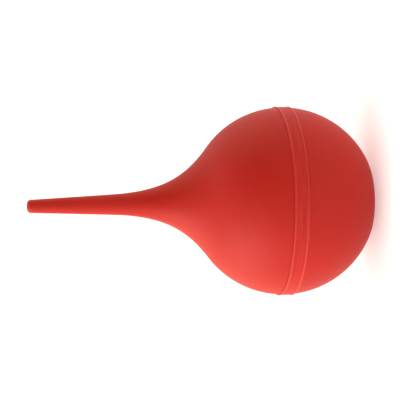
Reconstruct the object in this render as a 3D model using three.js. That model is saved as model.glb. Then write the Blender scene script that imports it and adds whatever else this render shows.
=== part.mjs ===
// A soft bulb with one long tapered nozzle, for drawing liquid up into a glass pipette.
// Two moulded halves meet at the bulb's widest line. A belt covers the joint outside, and a tape seals it inside.
// Millimetres. The bulb stands on its flattened base at height 0, and the nozzle points up along +Z.
import * as THREE from "three";

// The two halves
const BULB_RADIUS = 30;
const TOTAL_HEIGHT = 110.6;
const WALL = 2.5;
const INNER_RADIUS = BULB_RADIUS - WALL;

// The flattened base
const BASE_CUT = 1.6; // how far the flat lies inside the ball's lower pole
const BASE_FLAT_RADIUS = 6.5;
const BASE_THICKNESS = 2.6;
const FLATTEN_ANGLE = THREE.MathUtils.degToRad(57.5); // below the joint, where the ball starts to flatten
const JOINT_HEIGHT = BULB_RADIUS - BASE_CUT;

// The belt, set into a shallow rebate around both halves
const BELT_HALF_WIDTH = 2.4;
const BELT_STANDS_OUT = 0.3;
const BELT_CHAMFER = 0.2;
const REBATE_RADIUS = BULB_RADIUS - 0.8;

// The tape, bonded to a straight land around the inside of both halves
const LAND_HALF_WIDTH = 4;
const LAND_RADIUS = Math.sqrt(INNER_RADIUS ** 2 - LAND_HALF_WIDTH ** 2);
const TAPE_HALF_WIDTH = 3.8;
const TAPE_THICKNESS = 1.2;

// The neck, a curve from the ball to the foot of the nozzle, outside and inside
const NECK_ANGLE = THREE.MathUtils.degToRad(52.7); // above the joint, where the ball ends
const NOZZLE_FOOT = { radius: 3.25, height: TOTAL_HEIGHT - 26.6 };
const NECK_PULL = { ball: 13, nozzle: 16 };
const BORE_FOOT = { radius: 1.3, height: 80 };
const BORE_PULL = { ball: 13, nozzle: 16 };

// The nozzle
const TIP_RADIUS = 2.1;
const TIP_ROUNDING = 1.1;
const BORE_TIP_RADIUS = TIP_RADIUS - TIP_ROUNDING;

const ROUND_STEPS = 56;
const BALL_STEPS = 12;
const NECK_STEPS = 16;
const BASE_STEPS = 6;
const TIP_STEPS = 5;

const point = (radius, height) => new THREE.Vector2(radius, height);

/** Where the ball of this radius has this angle above the joint. */
function onBall(radius, angle) {
  return point(radius * Math.cos(angle), JOINT_HEIGHT + radius * Math.sin(angle));
}

/** Points along the ball from one angle above the joint to another. */
function ballArc(radius, from, to) {
  const points = [];
  for (let step = 0; step <= BALL_STEPS; step += 1) {
    points.push(onBall(radius, THREE.MathUtils.lerp(from, to, step / BALL_STEPS)));
  }
  return points;
}

/** The curve that leaves the ball at the neck's angle and runs into the foot of the nozzle. */
function neckCurve(radius, foot, footSlope, pull) {
  const start = onBall(radius, NECK_ANGLE);
  const alongBall = point(-Math.sin(NECK_ANGLE), Math.cos(NECK_ANGLE));
  const downNozzle = point(footSlope, -1).normalize();
  const end = point(foot.radius, foot.height);
  const curve = new THREE.CubicBezierCurve(
    start,
    start.clone().addScaledVector(alongBall, pull.ball),
    end.clone().addScaledVector(downNozzle, pull.nozzle),
    end,
  );
  return curve.getPoints(NECK_STEPS);
}

/** The flattened pole, from the edge of the flat out to the ball, for one face of the base. */
function flattenedPole(radius, flatRadius, height) {
  const onTheBall = onBall(radius, -FLATTEN_ANGLE);
  const reach = (onTheBall.y - height) / Math.tan(Math.PI / 2 - FLATTEN_ANGLE);
  const corner = point(onTheBall.x - reach, height);
  const curve = new THREE.QuadraticBezierCurve(point(flatRadius, height), corner, onTheBall);
  return curve.getPoints(BASE_STEPS);
}

/** The rounded end of the nozzle, from its side to the edge of the bore. */
function tipRounding() {
  const points = [];
  for (let step = 0; step <= TIP_STEPS; step += 1) {
    const angle = (Math.PI / 2) * (step / TIP_STEPS);
    points.push(
      point(
        BORE_TIP_RADIUS + TIP_ROUNDING * Math.cos(angle),
        TOTAL_HEIGHT - TIP_ROUNDING + TIP_ROUNDING * Math.sin(angle),
      ),
    );
  }
  return points;
}

/** The front half and its nozzle, which are one moulding with a bore right through. */
function frontShellProfile() {
  const beltEdge = Math.asin(BELT_HALF_WIDTH / BULB_RADIUS);
  const landEdge = Math.asin(LAND_HALF_WIDTH / INNER_RADIUS);
  const nozzleSlope = (NOZZLE_FOOT.radius - TIP_RADIUS) / (TOTAL_HEIGHT - NOZZLE_FOOT.height);
  return [
    point(REBATE_RADIUS, JOINT_HEIGHT),
    point(REBATE_RADIUS, JOINT_HEIGHT + BELT_HALF_WIDTH),
    ...ballArc(BULB_RADIUS, beltEdge, NECK_ANGLE).slice(0, -1),
    ...neckCurve(BULB_RADIUS, NOZZLE_FOOT, nozzleSlope, NECK_PULL),
    ...tipRounding(),
    ...neckCurve(INNER_RADIUS, BORE_FOOT, 0, BORE_PULL).reverse(),
    ...ballArc(INNER_RADIUS, NECK_ANGLE, landEdge).slice(1),
    point(LAND_RADIUS, JOINT_HEIGHT),
    point(REBATE_RADIUS, JOINT_HEIGHT),
  ];
}

/** The rear half, a dome whose pole is flattened into the base. */
function rearDomeProfile() {
  const beltEdge = Math.asin(BELT_HALF_WIDTH / BULB_RADIUS);
  const landEdge = Math.asin(LAND_HALF_WIDTH / INNER_RADIUS);
  return [
    point(0, 0),
    ...flattenedPole(BULB_RADIUS, BASE_FLAT_RADIUS, 0),
    ...ballArc(BULB_RADIUS, -FLATTEN_ANGLE, -beltEdge).slice(1),
    point(REBATE_RADIUS, JOINT_HEIGHT - BELT_HALF_WIDTH),
    point(REBATE_RADIUS, JOINT_HEIGHT),
    point(LAND_RADIUS, JOINT_HEIGHT),
    ...ballArc(INNER_RADIUS, -landEdge, -FLATTEN_ANGLE),
    ...flattenedPole(INNER_RADIUS, BASE_FLAT_RADIUS, BASE_THICKNESS).reverse().slice(1),
    point(0, BASE_THICKNESS),
  ];
}

/** The belt around the outside of the joint, with its two outer edges chamfered. */
function beltProfile() {
  const outer = BULB_RADIUS + BELT_STANDS_OUT;
  const low = JOINT_HEIGHT - BELT_HALF_WIDTH;
  const high = JOINT_HEIGHT + BELT_HALF_WIDTH;
  return [
    point(REBATE_RADIUS, low),
    point(outer - BELT_CHAMFER, low),
    point(outer, low + BELT_CHAMFER),
    point(outer, high - BELT_CHAMFER),
    point(outer - BELT_CHAMFER, high),
    point(REBATE_RADIUS, high),
    point(REBATE_RADIUS, low),
  ];
}

/** The tape bonded across the inside of the joint. */
function tapeProfile() {
  const low = JOINT_HEIGHT - TAPE_HALF_WIDTH;
  const high = JOINT_HEIGHT + TAPE_HALF_WIDTH;
  return [
    point(LAND_RADIUS - TAPE_THICKNESS, low),
    point(LAND_RADIUS, low),
    point(LAND_RADIUS, high),
    point(LAND_RADIUS - TAPE_THICKNESS, high),
    point(LAND_RADIUS - TAPE_THICKNESS, low),
  ];
}

/** A profile of radius and height, turned once about +Z into a named mesh. */
function turned(name, profile, material) {
  const geometry = new THREE.LatheGeometry(profile, ROUND_STEPS);
  geometry.rotateX(Math.PI / 2);
  const mesh = new THREE.Mesh(geometry, material);
  mesh.name = name;
  return mesh;
}

const redRubber = new THREE.MeshStandardMaterial({ color: 0xc0302a, roughness: 0.7 });
const tapeRubber = new THREE.MeshStandardMaterial({ color: 0x8a2a24, roughness: 0.85 });

const bulb = new THREE.Group();
bulb.name = "pipette_filler_bulb";
bulb.add(
  turned("rear_dome", rearDomeProfile(), redRubber),
  turned("front_shell", frontShellProfile(), redRubber),
  turned("seam_belt", beltProfile(), redRubber),
  turned("inner_seam_tape", tapeProfile(), tapeRubber),
);

export default bulb;
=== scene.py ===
"""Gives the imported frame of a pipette's squeeze bulb its moulded rubber looks, on a pale floor."""

import math

import bmesh
import bpy
from bpy.props import FloatProperty, FloatVectorProperty, IntProperty, PointerProperty
from mathutils import Matrix, Vector
from mathutils.geometry import interpolate_bezier


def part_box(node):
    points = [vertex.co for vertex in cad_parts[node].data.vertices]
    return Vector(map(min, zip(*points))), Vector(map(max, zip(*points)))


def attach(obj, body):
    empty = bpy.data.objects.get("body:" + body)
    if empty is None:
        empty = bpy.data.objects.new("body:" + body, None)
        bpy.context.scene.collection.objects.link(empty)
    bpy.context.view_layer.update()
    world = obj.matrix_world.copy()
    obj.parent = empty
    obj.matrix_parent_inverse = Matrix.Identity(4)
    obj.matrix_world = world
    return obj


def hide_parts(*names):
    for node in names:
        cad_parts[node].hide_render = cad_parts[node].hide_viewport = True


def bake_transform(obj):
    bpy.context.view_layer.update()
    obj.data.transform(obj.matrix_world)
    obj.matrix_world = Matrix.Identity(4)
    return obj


bl_info = {
    "name": "Pipette Filler Bulb",
    "version": (1, 0, 0),
    "blender": (4, 5, 0),
    "location": "3D View > Sidebar > Bulb",
    "description": "Builds a soft squeeze bulb with a tapered nozzle around its packed frame",
    "category": "Add Mesh",
}

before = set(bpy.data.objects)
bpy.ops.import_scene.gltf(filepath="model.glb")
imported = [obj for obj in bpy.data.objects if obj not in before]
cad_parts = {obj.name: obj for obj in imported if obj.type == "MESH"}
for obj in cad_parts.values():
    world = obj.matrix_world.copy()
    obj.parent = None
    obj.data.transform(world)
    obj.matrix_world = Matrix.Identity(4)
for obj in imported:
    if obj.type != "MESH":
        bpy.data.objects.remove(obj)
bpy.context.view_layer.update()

MM = 0.001
FRONT_BODY = "front_body"

# How many steps each stretch of a turned profile takes.
OUTER_STEPS = 40
INNER_STEPS = 20
NECK_STEPS = 40
POLE_STEPS = 16
TIP_STEPS = 10
CREASE_STEPS = 5
EDGE_STEPS = 4
BELT_STEPS = 48

FLOOR_HALF_SIZE = 6
CAMERA_NEAR = 0.01
CAMERA_FAR = 20

MERGE_DISTANCE = 0.001 * MM
SHARP_ANGLE = math.radians(50)

# The colour sockets of a Mix node share their names with its other kinds, so they go by number.
MIX_FIRST_COLOUR = 6
MIX_SECOND_COLOUR = 7
MIX_COLOUR_RESULT = 2

# What the frame settles: where the halves meet, where the nozzle ends and where the belt lies.
JOINT_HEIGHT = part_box("rear_dome")[1].z
TIP_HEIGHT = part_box("front_shell")[1].z
BELT_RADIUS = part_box("seam_belt")[1].x
BELT_HALF_WIDTH = (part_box("seam_belt")[1].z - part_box("seam_belt")[0].z) / 2
TAPE_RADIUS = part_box("inner_seam_tape")[1].x
TAPE_HALF_WIDTH = (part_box("inner_seam_tape")[1].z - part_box("inner_seam_tape")[0].z) / 2


class BulbShape(bpy.types.PropertyGroup):
    """Sizes of the moulded halves, the belt and the tape"""

    ball_radius: FloatProperty(
        name="Ball Radius", description="Outer radius of the bulb", default=30 * MM, unit="LENGTH"
    )
    wall: FloatProperty(
        name="Wall",
        description="Thickness of the bulb's wall",
        default=2.5 * MM,
        unit="LENGTH",
    )
    base_flat: FloatProperty(
        name="Base Flat",
        description="Radius of the flat that the bulb stands on",
        default=6.5 * MM,
        unit="LENGTH",
    )
    base_thickness: FloatProperty(
        name="Base Thickness",
        description="Thickness of the base in its middle",
        default=2.6 * MM,
        unit="LENGTH",
    )
    flatten_angle: FloatProperty(
        name="Flatten Angle",
        description="How far below the joint the ball starts to flatten into the base",
        default=math.radians(57.5),
        subtype="ANGLE",
    )
    neck_angle: FloatProperty(
        name="Neck Angle",
        description="How far above the joint the ball turns into the neck",
        default=math.radians(52.7),
        subtype="ANGLE",
    )
    ball_pull: FloatProperty(
        name="Ball Pull",
        description="How far the neck keeps the ball's direction before it turns",
        default=13 * MM,
        unit="LENGTH",
    )
    nozzle_pull: FloatProperty(
        name="Nozzle Pull",
        description="How far the neck follows the nozzle's direction before it turns",
        default=16 * MM,
        unit="LENGTH",
    )
    nozzle_length: FloatProperty(
        name="Nozzle Length",
        description="Length of the straight taper",
        default=26.6 * MM,
        unit="LENGTH",
    )
    nozzle_foot: FloatProperty(
        name="Nozzle Foot",
        description="Outer radius where the taper starts",
        default=3.25 * MM,
        unit="LENGTH",
    )
    nozzle_tip: FloatProperty(
        name="Nozzle Tip",
        description="Outer radius at the end of the nozzle",
        default=2.1 * MM,
        unit="LENGTH",
    )
    tip_rounding: FloatProperty(
        name="Tip Rounding",
        description="Radius of the nozzle's rounded end",
        default=1.1 * MM,
        unit="LENGTH",
    )
    bore_foot: FloatProperty(
        name="Bore Foot",
        description="Radius of the bore where the chamber ends",
        default=1.3 * MM,
        unit="LENGTH",
    )
    bore_length: FloatProperty(
        name="Bore Length",
        description="Length of the narrow bore",
        default=30.6 * MM,
        unit="LENGTH",
    )
    rebate_depth: FloatProperty(
        name="Rebate Depth",
        description="How deep the belt is set into the ball",
        default=0.8 * MM,
        unit="LENGTH",
    )
    crease_width: FloatProperty(
        name="Crease Width",
        description="Width of the crease beside the belt",
        default=0.08 * MM,
        unit="LENGTH",
    )
    bead_height: FloatProperty(
        name="Bead Height",
        description="Height of the two beads along the belt",
        default=0.16 * MM,
        unit="LENGTH",
    )
    bead_width: FloatProperty(
        name="Bead Width", description="Half width of each bead", default=0.3 * MM, unit="LENGTH"
    )
    belt_rounding: FloatProperty(
        name="Belt Rounding",
        description="Radius of the belt's edges",
        default=0.1 * MM,
        unit="LENGTH",
    )
    tape_thickness: FloatProperty(
        name="Tape Thickness",
        description="Thickness of the tape inside",
        default=1.2 * MM,
        unit="LENGTH",
    )
    round_steps: IntProperty(
        name="Round Steps",
        description="Steps in one turn",
        default=160,
        min=24,
    )


class BulbFinish(bpy.types.PropertyGroup):
    """Colours and finish of the rubber"""

    deep_red: FloatVectorProperty(
        name="Deep Red",
        description="The rubber's own colour",
        default=(0.424, 0.006, 0.0005),
        subtype="COLOR",
    )
    bloom_red: FloatVectorProperty(
        name="Bloom Red",
        description="Where a thin bloom lies on it",
        default=(0.452, 0.0095, 0.0005),
        subtype="COLOR",
    )
    # Paler red of real scuffs on the base, also painted along the belt's beads as a highlight.
    scuff_and_highlight_red: FloatVectorProperty(
        name="Scuff And Highlight Red",
        description="Where edges are rubbed pale",
        default=(0.515, 0.022, 0.013),
        subtype="COLOR",
    )
    tape_red: FloatVectorProperty(
        name="Tape Red",
        description="The unpolished tape inside",
        default=(0.22, 0.022, 0.016),
        subtype="COLOR",
    )
    roughness: FloatProperty(
        name="Roughness",
        description="Roughness of the moulded skin",
        default=0.595,
        min=0,
        max=1,
        subtype="FACTOR",
    )
    shine: FloatProperty(
        name="Shine",
        description="Strength of the skin's reflection",
        default=0.275,
        min=0,
        max=1,
        subtype="FACTOR",
    )
    grain_depth: FloatProperty(
        name="Grain Depth",
        description="Depth of the fine mould grain",
        default=0.004 * MM,
        unit="LENGTH",
    )
    grain_size: FloatProperty(
        name="Grain Size",
        description="Length of one grain of the mould's surface",
        default=0.22 * MM,
        unit="LENGTH",
    )
    mottle_size: FloatProperty(
        name="Mottle Size",
        description="Length of the small uneven patches of the skin",
        default=2.2 * MM,
        unit="LENGTH",
    )
    bloom_size: FloatProperty(
        name="Bloom Size",
        description="Length of the large clouds of bloom",
        default=25 * MM,
        unit="LENGTH",
    )
    scuff_size: FloatProperty(
        name="Scuff Size",
        description="Length of the scuffs on the base",
        default=0.8 * MM,
        unit="LENGTH",
    )
    handled_length: FloatProperty(
        name="Handled Length",
        description="How far handling has polished the end of the nozzle",
        default=9 * MM,
        unit="LENGTH",
    )
    # Size of the patches where the painted highlight along the beads is stronger.
    bead_highlight_patch_size: FloatProperty(
        name="Bead Highlight Patch Size",
        description="Length of the patches that are rubbed harder along the beads",
        default=3 * MM,
        unit="LENGTH",
    )
    streak_length: FloatProperty(
        name="Streak Length",
        description="Length of the grinding streaks on the belt",
        default=14 * MM,
        unit="LENGTH",
    )
    streak_width: FloatProperty(
        name="Streak Width",
        description="Width of the grinding streaks on the belt",
        default=0.5 * MM,
        unit="LENGTH",
    )
    bloom_share: FloatProperty(
        name="Bloom Share",
        description="How much of the bloom comes from its large clouds",
        default=0.75,
        min=0,
        max=1,
        subtype="FACTOR",
    )
    scuff_strength: FloatProperty(
        name="Scuff Strength",
        description="How pale the scuffs on the base are",
        default=0.5,
        min=0,
        max=1,
        subtype="FACTOR",
    )
    streak_strength: FloatProperty(
        name="Streak Strength",
        description="How pale the streaks on the belt are",
        default=0.75,
        min=0,
        max=1,
        subtype="FACTOR",
    )


class BulbStage(bpy.types.PropertyGroup):
    """Floor, light and camera"""

    floor_tone: FloatProperty(
        name="Floor Tone",
        description="Lightness of the floor",
        default=0.92,
        min=0,
        max=1,
        subtype="FACTOR",
    )
    sky_tint: FloatVectorProperty(
        name="Sky Tint",
        description="Colour of the even light",
        default=(1.0, 0.97, 0.92),
        subtype="COLOR",
    )
    lamp_tint: FloatVectorProperty(
        name="Lamp Tint",
        description="Warm white of the fill and rim",
        default=(1.0, 0.64, 0.34),
        subtype="COLOR",
    )
    sky_strength: FloatProperty(
        name="Sky Strength", description="Even light from all around", default=1.106, min=0
    )
    sky_falloff: FloatProperty(
        name="Sky Falloff",
        description="How much dimmer the dark end of the studio is",
        default=0.9,
        min=0,
    )
    dark_end: FloatVectorProperty(
        name="Dark End",
        description="Which way the dim end of the studio lies",
        default=(0.6, -0.75, 0.05),
    )
    key_place: FloatVectorProperty(
        name="Key Place",
        description="Middle of the large soft light",
        default=(-1.3, -0.16, 1.09),
        subtype="TRANSLATION",
    )
    fill_place: FloatVectorProperty(
        name="Fill Place",
        description="Middle of the soft light behind the left",
        default=(-1.1, 1.1, 0.55),
        subtype="TRANSLATION",
    )
    rim_place: FloatVectorProperty(
        name="Rim Place",
        description="Middle of the soft light at the right",
        default=(1.5, 0.2, 0.55),
        subtype="TRANSLATION",
    )
    key_power: FloatProperty(
        name="Key Power", description="Large soft light above the left", default=26, unit="POWER"
    )
    fill_power: FloatProperty(
        name="Fill Power", description="Soft light behind the left", default=6.4, unit="POWER"
    )
    rim_power: FloatProperty(
        name="Rim Power", description="Soft light at the right", default=6.8, unit="POWER"
    )
    camera_distance: FloatProperty(
        name="Camera Distance",
        description="From the middle of the bulb",
        default=0.797,
        unit="LENGTH",
    )
    camera_elevation: FloatProperty(
        name="Camera Elevation",
        description="Above the horizon",
        default=math.radians(10),
        subtype="ANGLE",
    )
    camera_roll: FloatProperty(
        name="Camera Roll",
        description="Turn about the line of sight, which lays the bulb across the picture",
        default=math.radians(-91.25),
        subtype="ANGLE",
    )
    camera_lens: FloatProperty(
        name="Camera Lens", description="Focal length in millimetres", default=225, min=10
    )
    camera_side: FloatProperty(
        name="Camera Side",
        description="How far to the side of the axis the camera aims",
        default=0.86 * MM,
        unit="LENGTH",
    )


class Number:
    """A socket that carries one number, so that sums on it are written as Python sums."""

    def __init__(self, graph, socket):
        self.graph = graph
        self.socket = socket

    def combine(self, operation, first, second):
        """One Math node on these two values."""
        node = self.graph.node("ShaderNodeMath", {"operation": operation}, {0: first, 1: second})
        return Number(self.graph, node.outputs[0])

    def __add__(self, other):
        return self.combine("ADD", self, other)

    def __radd__(self, other):
        return self.combine("ADD", other, self)

    def __sub__(self, other):
        return self.combine("SUBTRACT", self, other)

    def __rsub__(self, other):
        return self.combine("SUBTRACT", other, self)

    def __mul__(self, other):
        return self.combine("MULTIPLY", self, other)

    def __rmul__(self, other):
        return self.combine("MULTIPLY", other, self)

    def __truediv__(self, other):
        return self.combine("DIVIDE", self, other)

    def __rtruediv__(self, other):
        return self.combine("DIVIDE", other, self)

    def __abs__(self):
        return self.combine("ABSOLUTE", self, 0)


class Graph:
    """The node tree of one material or of the world."""

    def __init__(self, owner):
        self.owner = owner
        owner.use_nodes = True
        self.tree = owner.node_tree
        self.tree.nodes.clear()

    def node(self, kind, settings=None, inputs=None):
        """A node of this type, with its settings made first and then its sockets set or linked."""
        node = self.tree.nodes.new(kind)
        for name, value in (settings or {}).items():
            setattr(node, name, value)
        for key, value in (inputs or {}).items():
            if isinstance(value, Number):
                value = value.socket
            if isinstance(value, bpy.types.NodeSocket):
                self.tree.links.new(value, node.inputs[key])
            else:
                node.inputs[key].default_value = value
        return node

    def place(self):
        """The piece's own coordinates, in metres."""
        return self.node("ShaderNodeTexCoord").outputs["Object"]

    def noise(self, size, detail=2.0, roughness=0.5):
        """Soft noise from 0 to 1 whose patches are about this long."""
        node = self.node(
            "ShaderNodeTexNoise",
            {"noise_dimensions": "3D"},
            {"Vector": self.place(), "Scale": 1 / size, "Detail": detail, "Roughness": roughness},
        )
        return Number(self, node.outputs["Fac"])

    def streaks(self, along, across):
        """Noise from 0 to 1 drawn out into level streaks this long and this wide."""
        stretched = self.node(
            "ShaderNodeVectorMath",
            {"operation": "MULTIPLY"},
            {0: self.place(), 1: (1 / along, 1 / along, 1 / across)},
        )
        node = self.node(
            "ShaderNodeTexNoise",
            {"noise_dimensions": "3D"},
            {"Vector": stretched.outputs["Vector"], "Scale": 1.0, "Detail": 3.0},
        )
        return Number(self, node.outputs["Fac"])

    def height(self):
        """The height above the base."""
        node = self.node("ShaderNodeSeparateXYZ", None, {0: self.place()})
        return Number(self, node.outputs["Z"])

    def between(self, value, low, high):
        """0 below low, 1 above high, smooth in between."""
        node = self.node(
            "ShaderNodeMapRange",
            {"interpolation_type": "SMOOTHSTEP"},
            {"Value": value, "From Min": low, "From Max": high},
        )
        return Number(self, node.outputs["Result"])

    def mix(self, mask, first, second):
        """One colour where the mask is 0 and the other where it is 1."""
        node = self.node(
            "ShaderNodeMix",
            {"data_type": "RGBA"},
            {"Factor": mask, MIX_FIRST_COLOUR: first, MIX_SECOND_COLOUR: second},
        )
        return node.outputs[MIX_COLOUR_RESULT]

    def bump(self, height, distance):
        """A surface normal that follows this height."""
        node = self.node(
            "ShaderNodeBump", None, {"Height": height, "Distance": distance, "Strength": 1.0}
        )
        return node.outputs["Normal"]

    def finish(self, inputs):
        """The shader and the output."""
        shader = self.node("ShaderNodeBsdfPrincipled", None, inputs)
        self.node("ShaderNodeOutputMaterial", None, {"Surface": shader.outputs[0]})
        return self.owner


def with_alpha(colour):
    """The colour as a node socket takes it."""
    return (*colour, 1.0)


def bead_place(shape):
    """How far the middle of each bead lies from the joint."""
    return BELT_HALF_WIDTH - shape.belt_rounding - shape.bead_width


def moulded_skin(graph, finish):
    """Colour, roughness and bump height of fine-grained moulded rubber with a thin uneven bloom."""
    cloud = graph.noise(finish.bloom_size, detail=3)
    mottle = graph.noise(finish.mottle_size, detail=4, roughness=0.6)
    grain = graph.noise(finish.grain_size, detail=2)
    cover = cloud * finish.bloom_share + mottle * (1 - finish.bloom_share)
    bloom = graph.between(cover, 0.35, 0.68)
    colour = graph.mix(bloom, with_alpha(finish.deep_red), with_alpha(finish.bloom_red))
    roughness = finish.roughness - 0.04 + bloom * 0.05 + mottle * 0.04
    return colour, roughness, grain * 0.7 + mottle * 0.3


def moulded_rubber(finish, name):
    """The skin of the halves, polished by handling near the nozzle's end and scuffed on the base."""
    graph = Graph(bpy.data.materials.new(name))
    colour, roughness, relief = moulded_skin(graph, finish)
    height = graph.height()
    handled = graph.between(height, TIP_HEIGHT - finish.handled_length, TIP_HEIGHT - 1 * MM)
    scuffs = graph.noise(finish.scuff_size, detail=5, roughness=0.7)
    on_base = 1 - graph.between(height, 0.05 * MM, 0.5 * MM)
    scuffed = on_base * graph.between(scuffs, 0.4, 0.6)
    pale = scuffed * finish.scuff_strength
    return graph.finish(
        {
            "Base Color": graph.mix(pale, colour, with_alpha(finish.scuff_and_highlight_red)),
            "Roughness": roughness - handled * 0.1 + scuffed * 0.12,
            "Normal": graph.bump(relief, finish.grain_depth),
            "Specular IOR Level": finish.shine,
        }
    )


def belt_rubber(finish, shape, name):
    """The same rubber, ground in fine streaks, with a painted highlight along its two beads."""
    graph = Graph(bpy.data.materials.new(name))
    colour, roughness, relief = moulded_skin(graph, finish)
    # Painted highlight: a paler red along the crests of the two beads, stronger in patches, where
    # the beads are also a little smoother.
    from_bead = abs(abs(graph.height() - JOINT_HEIGHT) - bead_place(shape))
    on_bead = 1 - graph.between(from_bead, 0.1 * MM, 0.4 * MM)
    patches = graph.noise(finish.bead_highlight_patch_size, detail=3)
    bead_highlight = on_bead * (0.7 + patches * 0.6)
    streaks = graph.streaks(finish.streak_length, finish.streak_width)
    ground = graph.between(streaks, 0.4, 0.62) * (1 - on_bead)
    pale = bead_highlight + ground * finish.streak_strength
    return graph.finish(
        {
            "Base Color": graph.mix(pale, colour, with_alpha(finish.scuff_and_highlight_red)),
            "Roughness": roughness - bead_highlight * 0.1 + ground * 0.06,
            "Normal": graph.bump(relief, finish.grain_depth),
            "Specular IOR Level": finish.shine,
        }
    )


def raw_rubber(finish, name):
    """The dull cut sheet of the tape inside, never touched by a mould."""
    graph = Graph(bpy.data.materials.new(name))
    mottle = graph.noise(1.5 * MM, detail=5, roughness=0.65)
    weave = graph.noise(0.4 * MM, detail=2)
    dark = tuple(channel * 0.7 for channel in finish.tape_red)
    return graph.finish(
        {
            "Base Color": graph.mix(mottle, with_alpha(dark), with_alpha(finish.tape_red)),
            "Roughness": 0.8 + mottle * 0.1,
            "Normal": graph.bump(weave, 0.03 * MM),
        }
    )


def on_ball(radius, angle):
    """A profile point on a ball about the joint's centre, at this angle above the joint."""
    return Vector((radius * math.cos(angle), 0, JOINT_HEIGHT + radius * math.sin(angle)))


def ball_arc(radius, start, end, steps):
    """Profile points along the ball, both ends included."""
    return [on_ball(radius, start + (end - start) * step / steps) for step in range(steps + 1)]


def corner_arc(centre, radius, start, end, steps):
    """Profile points round a small corner, by angles from the outward direction."""
    points = []
    for step in range(steps + 1):
        angle = start + (end - start) * step / steps
        points.append(centre + Vector((math.cos(angle), 0, math.sin(angle))) * radius)
    return points


def neck_curve(shape, radius, foot, slope):
    """The curve from a ball of this radius into the foot of the nozzle or of its bore."""
    start = on_ball(radius, shape.neck_angle)
    along_ball = Vector((-math.sin(shape.neck_angle), 0, math.cos(shape.neck_angle)))
    down_nozzle = Vector((slope, 0, -1)).normalized()
    leaves_ball = start + along_ball * shape.ball_pull
    meets_nozzle = foot + down_nozzle * shape.nozzle_pull
    return interpolate_bezier(start, leaves_ball, meets_nozzle, foot, NECK_STEPS)


def flattened_pole(radius, flatten_angle, flat_radius, height):
    """The curve from the edge of the base's flat out to the ball."""
    edge = Vector((flat_radius, 0, height))
    on_the_ball = on_ball(radius, -flatten_angle)
    reach = (on_the_ball.z - height) * math.tan(flatten_angle)
    corner = Vector((on_the_ball.x - reach, 0, height))
    leaves_flat = edge.lerp(corner, 2 / 3)
    meets_ball = on_the_ball.lerp(corner, 2 / 3)
    return interpolate_bezier(edge, leaves_flat, meets_ball, on_the_ball, POLE_STEPS)


def turned(profile, steps, closed):
    """A bmesh of this profile turned once about the bulb's axis."""
    bm = bmesh.new()
    verts = [bm.verts.new(point) for point in profile]
    edges = [bm.edges.new(pair) for pair in zip(verts, verts[1:])]
    if closed:
        edges.append(bm.edges.new((verts[-1], verts[0])))
    bmesh.ops.spin(
        bm,
        geom=verts + edges,
        cent=(0, 0, 0),
        axis=(0, 0, 1),
        angle=2 * math.pi,
        steps=steps,
        use_merge=True,
    )
    bmesh.ops.remove_doubles(bm, verts=bm.verts, dist=MERGE_DISTANCE)
    bmesh.ops.recalc_face_normals(bm, faces=bm.faces)
    return bm


def add_piece(context, bm, name, material):
    """A smooth-shaded object of this bmesh, sharp only where the surface really turns."""
    mesh = bpy.data.meshes.new(name)
    bm.to_mesh(mesh)
    bm.free()
    mesh.shade_smooth()
    mesh.set_sharp_from_angle(angle=SHARP_ANGLE)
    mesh.materials.append(material)
    piece = bpy.data.objects.new(name, mesh)
    context.scene.collection.objects.link(piece)
    return piece


def crease(shape, side):
    """Profile points of the crease beside the belt, from the ball inwards.

    Side is 1 above the joint and -1 below it.
    """
    width = shape.crease_width
    rolls_at = BELT_HALF_WIDTH + width
    outer = math.sqrt(shape.ball_radius**2 - rolls_at**2)
    centre = Vector((outer - width, 0, JOINT_HEIGHT + side * rolls_at))
    rounding = corner_arc(centre, width, 0, -side * math.pi / 2, CREASE_STEPS)
    floor = shape.ball_radius - shape.rebate_depth
    return [
        *rounding,
        Vector((floor, 0, JOINT_HEIGHT + side * BELT_HALF_WIDTH)),
        Vector((floor, 0, JOINT_HEIGHT)),
    ]


class BULB_OT_front_shell(bpy.types.Operator):
    """Build the front half of the bulb, with its neck and bored nozzle"""

    bl_idname = "bulb.front_shell"
    bl_label = "Front Shell"

    def execute(self, context):
        shape = context.scene.bulb_shape
        inner_radius = shape.ball_radius - shape.wall
        ball_edge = math.asin((BELT_HALF_WIDTH + shape.crease_width) / shape.ball_radius)
        land_edge = math.acos(TAPE_RADIUS / inner_radius)
        foot = Vector((shape.nozzle_foot, 0, TIP_HEIGHT - shape.nozzle_length))
        slope = (shape.nozzle_foot - shape.nozzle_tip) / shape.nozzle_length
        bore_foot = Vector((shape.bore_foot, 0, TIP_HEIGHT - shape.bore_length))
        tip_centre = Vector(
            (shape.nozzle_tip - shape.tip_rounding, 0, TIP_HEIGHT - shape.tip_rounding)
        )
        profile = [
            *reversed(crease(shape, 1)),
            *ball_arc(shape.ball_radius, ball_edge, shape.neck_angle, OUTER_STEPS)[1:-1],
            *neck_curve(shape, shape.ball_radius, foot, slope),
            *corner_arc(tip_centre, shape.tip_rounding, 0, math.pi / 2, TIP_STEPS),
            *reversed(neck_curve(shape, inner_radius, bore_foot, 0)),
            *ball_arc(inner_radius, shape.neck_angle, land_edge, INNER_STEPS)[1:],
            Vector((TAPE_RADIUS, 0, JOINT_HEIGHT)),
        ]
        material = moulded_rubber(context.scene.bulb_finish, "Front_Rubber")
        bm = turned(profile, shape.round_steps, closed=True)
        piece = add_piece(context, bm, "Front_Half", material)
        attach(piece, FRONT_BODY)
        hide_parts("front_shell")
        return {"FINISHED"}


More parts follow.
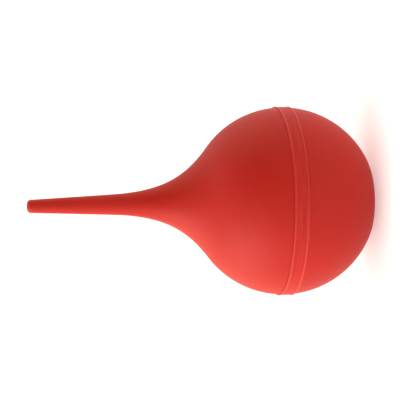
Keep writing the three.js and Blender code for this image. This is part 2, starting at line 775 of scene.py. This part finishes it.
class BULB_OT_rear_dome(bpy.types.Operator):
    """Build the rear half of the bulb, with its flattened base"""

    bl_idname = "bulb.rear_dome"
    bl_label = "Rear Dome"

    def execute(self, context):
        shape = context.scene.bulb_shape
        inner_radius = shape.ball_radius - shape.wall
        ball_edge = math.asin((BELT_HALF_WIDTH + shape.crease_width) / shape.ball_radius)
        land_edge = math.acos(TAPE_RADIUS / inner_radius)
        outer_pole = flattened_pole(shape.ball_radius, shape.flatten_angle, shape.base_flat, 0)
        inner_pole = flattened_pole(
            inner_radius, shape.flatten_angle, shape.base_flat, shape.base_thickness
        )
        profile = [
            Vector((0, 0, 0)),
            *outer_pole,
            *ball_arc(shape.ball_radius, -shape.flatten_angle, -ball_edge, OUTER_STEPS)[1:-1],
            *crease(shape, -1),
            Vector((TAPE_RADIUS, 0, JOINT_HEIGHT)),
            *ball_arc(inner_radius, -land_edge, -shape.flatten_angle, INNER_STEPS),
            *reversed(inner_pole[:-1]),
            Vector((0, 0, shape.base_thickness)),
        ]
        material = moulded_rubber(context.scene.bulb_finish, "Rear_Rubber")
        bm = turned(profile, shape.round_steps, closed=False)
        piece = add_piece(context, bm, "Rear_Dome", material)
        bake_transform(piece)
        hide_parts("rear_dome")
        return {"FINISHED"}


class BULB_OT_seam_belt(bpy.types.Operator):
    """Build the belt that covers the joint, with a low bead along each edge"""

    bl_idname = "bulb.seam_belt"
    bl_label = "Seam Belt"

    def execute(self, context):
        shape = context.scene.bulb_shape
        floor = shape.ball_radius - shape.rebate_depth
        face = BELT_RADIUS - shape.bead_height
        rounding = shape.belt_rounding
        bead_at = bead_place(shape)
        flat_half = BELT_HALF_WIDTH - rounding
        profile = [Vector((floor, 0, JOINT_HEIGHT - BELT_HALF_WIDTH))]
        lower = Vector((face - rounding, 0, JOINT_HEIGHT - flat_half))
        profile += corner_arc(lower, rounding, -math.pi / 2, 0, EDGE_STEPS)[:-1]
        for step in range(BELT_STEPS + 1):
            across = -flat_half + 2 * flat_half * step / BELT_STEPS
            distance = (abs(across) - bead_at) / shape.bead_width
            raised = shape.bead_height * math.exp(-(distance**2) * 2)
            profile.append(Vector((face + raised, 0, JOINT_HEIGHT + across)))
        upper = Vector((face - rounding, 0, JOINT_HEIGHT + flat_half))
        profile += corner_arc(upper, rounding, 0, math.pi / 2, EDGE_STEPS)[1:]
        profile.append(Vector((floor, 0, JOINT_HEIGHT + BELT_HALF_WIDTH)))
        material = belt_rubber(context.scene.bulb_finish, shape, "Belt_Rubber")
        bm = turned(profile, shape.round_steps, closed=True)
        piece = add_piece(context, bm, "Seam_Belt", material)
        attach(piece, FRONT_BODY)
        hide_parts("seam_belt")
        return {"FINISHED"}


class BULB_OT_seam_tape(bpy.types.Operator):
    """Build the tape that seals the joint inside"""

    bl_idname = "bulb.seam_tape"
    bl_label = "Seam Tape"

    def execute(self, context):
        shape = context.scene.bulb_shape
        profile = [
            Vector((TAPE_RADIUS - inward, 0, JOINT_HEIGHT + across))
            for inward, across in (
                (0, -TAPE_HALF_WIDTH),
                (0, TAPE_HALF_WIDTH),
                (shape.tape_thickness, TAPE_HALF_WIDTH),
                (shape.tape_thickness, -TAPE_HALF_WIDTH),
            )
        ]
        bm = turned(profile, shape.round_steps, closed=True)
        middle_radius = TAPE_RADIUS - shape.tape_thickness / 2
        inner_edges = [
            edge
            for edge in bm.edges
            if all(vert.co.xy.length < middle_radius for vert in edge.verts)
            and abs(edge.verts[0].co.z - edge.verts[1].co.z) < MERGE_DISTANCE
        ]
        bmesh.ops.bevel(
            bm,
            geom=inner_edges,
            offset=shape.tape_thickness / 3,
            segments=3,
            profile=0.5,
            affect="EDGES",
            material=-1,
        )
        material = raw_rubber(context.scene.bulb_finish, "Tape_Rubber")
        piece = add_piece(context, bm, "Inner_Seam_Tape", material)
        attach(piece, FRONT_BODY)
        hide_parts("inner_seam_tape")
        return {"FINISHED"}


def add_soft_light(context, name, power, tint, size, place, aim):
    """A large soft area light at this place, aimed at the bulb and out of every picture."""
    light = bpy.data.lights.new(name, "AREA")
    light.energy = power
    light.color = tint
    light.shape = "RECTANGLE"
    light.size, light.size_y = size
    lamp = bpy.data.objects.new(name, light)
    facing = (aim - Vector(place)).to_track_quat("-Z", "Y").to_matrix().to_4x4()
    lamp.matrix_world = Matrix.Translation(place) @ facing
    lamp.visible_camera = False
    context.scene.collection.objects.link(lamp)
    return light


class BULB_OT_stage(bpy.types.Operator):
    """Build the floor, the lights and the camera"""

    bl_idname = "bulb.stage"
    bl_label = "Stage"

    def execute(self, context):
        stage = context.scene.bulb_stage
        middle = Vector((0, 0, TIP_HEIGHT / 2))
        self.add_floor(context, stage)
        self.add_sky(context, stage)
        white = (1, 1, 1)
        warm = stage.lamp_tint
        wide = (1.4, 0.9)
        narrow = (1.2, 0.9)
        key = add_soft_light(context, "Key", stage.key_power, white, wide, stage.key_place, middle)
        # So that the floor stays evenly pale beside the bulb.
        key.use_shadow = False
        add_soft_light(context, "Fill", stage.fill_power, warm, narrow, stage.fill_place, middle)
        add_soft_light(context, "Rim", stage.rim_power, warm, wide, stage.rim_place, middle)
        self.add_camera(context, stage, middle)
        return {"FINISHED"}

    def add_floor(self, context, stage):
        """A plain pale floor that reaches past the edges of every picture."""
        graph = Graph(bpy.data.materials.new("Floor_Pale"))
        tone = stage.floor_tone
        material = graph.finish({"Base Color": (tone, tone, tone, 1), "Roughness": 0.9})
        bm = bmesh.new()
        bmesh.ops.create_grid(bm, x_segments=1, y_segments=1, size=FLOOR_HALF_SIZE)
        mesh = bpy.data.meshes.new("Floor")
        bm.to_mesh(mesh)
        bm.free()
        mesh.materials.append(material)
        floor = bpy.data.objects.new("Floor", mesh)
        context.scene.collection.objects.link(floor)

    def add_sky(self, context, stage):
        """A pale room all around, with its dark end towards the front right."""
        world = bpy.data.worlds.new("Studio")
        graph = Graph(world)
        direction = graph.node("ShaderNodeTexCoord").outputs["Generated"]
        dark_end = Vector(stage.dark_end).normalized()
        towards = graph.node(
            "ShaderNodeVectorMath", {"operation": "DOT_PRODUCT"}, {0: direction, 1: dark_end}
        )
        darkness = graph.between(Number(graph, towards.outputs["Value"]), 0.1, 0.95)
        strength = stage.sky_strength - stage.sky_falloff * darkness
        sky = graph.node(
            "ShaderNodeBackground", None, {"Color": with_alpha(stage.sky_tint), "Strength": strength}
        )
        graph.node("ShaderNodeOutputWorld", None, {"Surface": sky.outputs[0]})
        context.scene.world = world
        context.scene.view_settings.view_transform = "Standard"

    def add_camera(self, context, stage, middle):
        """A long lens a little above the bulb's middle, rolled so that the bulb lies across."""
        camera = bpy.data.cameras.new("Camera")
        camera.lens = stage.camera_lens
        camera.clip_start = CAMERA_NEAR
        camera.clip_end = CAMERA_FAR
        eye = bpy.data.objects.new("Camera", camera)
        context.scene.collection.objects.link(eye)
        back = Vector((0, -math.cos(stage.camera_elevation), math.sin(stage.camera_elevation)))
        aim = middle + Vector((stage.camera_side, 0, 0))
        facing = (-back).to_track_quat("-Z", "Y").to_matrix().to_4x4()
        eye.matrix_world = (
            Matrix.Translation(aim + back * stage.camera_distance)
            @ facing
            @ Matrix.Rotation(stage.camera_roll, 4, "Z")
        )
        context.scene.camera = eye


class BULB_PT_panel(bpy.types.Panel):
    """Lists the pieces of the bulb and their settings"""

    bl_label = "Pipette Filler Bulb"
    bl_idname = "BULB_PT_panel"
    bl_space_type = "VIEW_3D"
    bl_region_type = "UI"
    bl_category = "Bulb"

    def draw(self, context):
        for operator in OPERATORS:
            self.layout.operator(operator.bl_idname)
        for group in (context.scene.bulb_shape, context.scene.bulb_finish, context.scene.bulb_stage):
            box = self.layout.box()
            for name in group.__annotations__:
                box.prop(group, name)


OPERATORS = (
    BULB_OT_rear_dome,
    BULB_OT_front_shell,
    BULB_OT_seam_belt,
    BULB_OT_seam_tape,
    BULB_OT_stage,
)
CLASSES = (BulbShape, BulbFinish, BulbStage, *OPERATORS, BULB_PT_panel)


def register():
    for cls in CLASSES:
        bpy.utils.register_class(cls)
    bpy.types.Scene.bulb_shape = PointerProperty(type=BulbShape)
    bpy.types.Scene.bulb_finish = PointerProperty(type=BulbFinish)
    bpy.types.Scene.bulb_stage = PointerProperty(type=BulbStage)


def unregister():
    del bpy.types.Scene.bulb_stage
    del bpy.types.Scene.bulb_finish
    del bpy.types.Scene.bulb_shape
    for cls in reversed(CLASSES):
        bpy.utils.unregister_class(cls)


def main():
    register()
    bpy.ops.bulb.rear_dome()
    bpy.ops.bulb.front_shell()
    bpy.ops.bulb.seam_belt()
    bpy.ops.bulb.seam_tape()
    bpy.ops.bulb.stage()


if __name__ == "__main__":
    main()
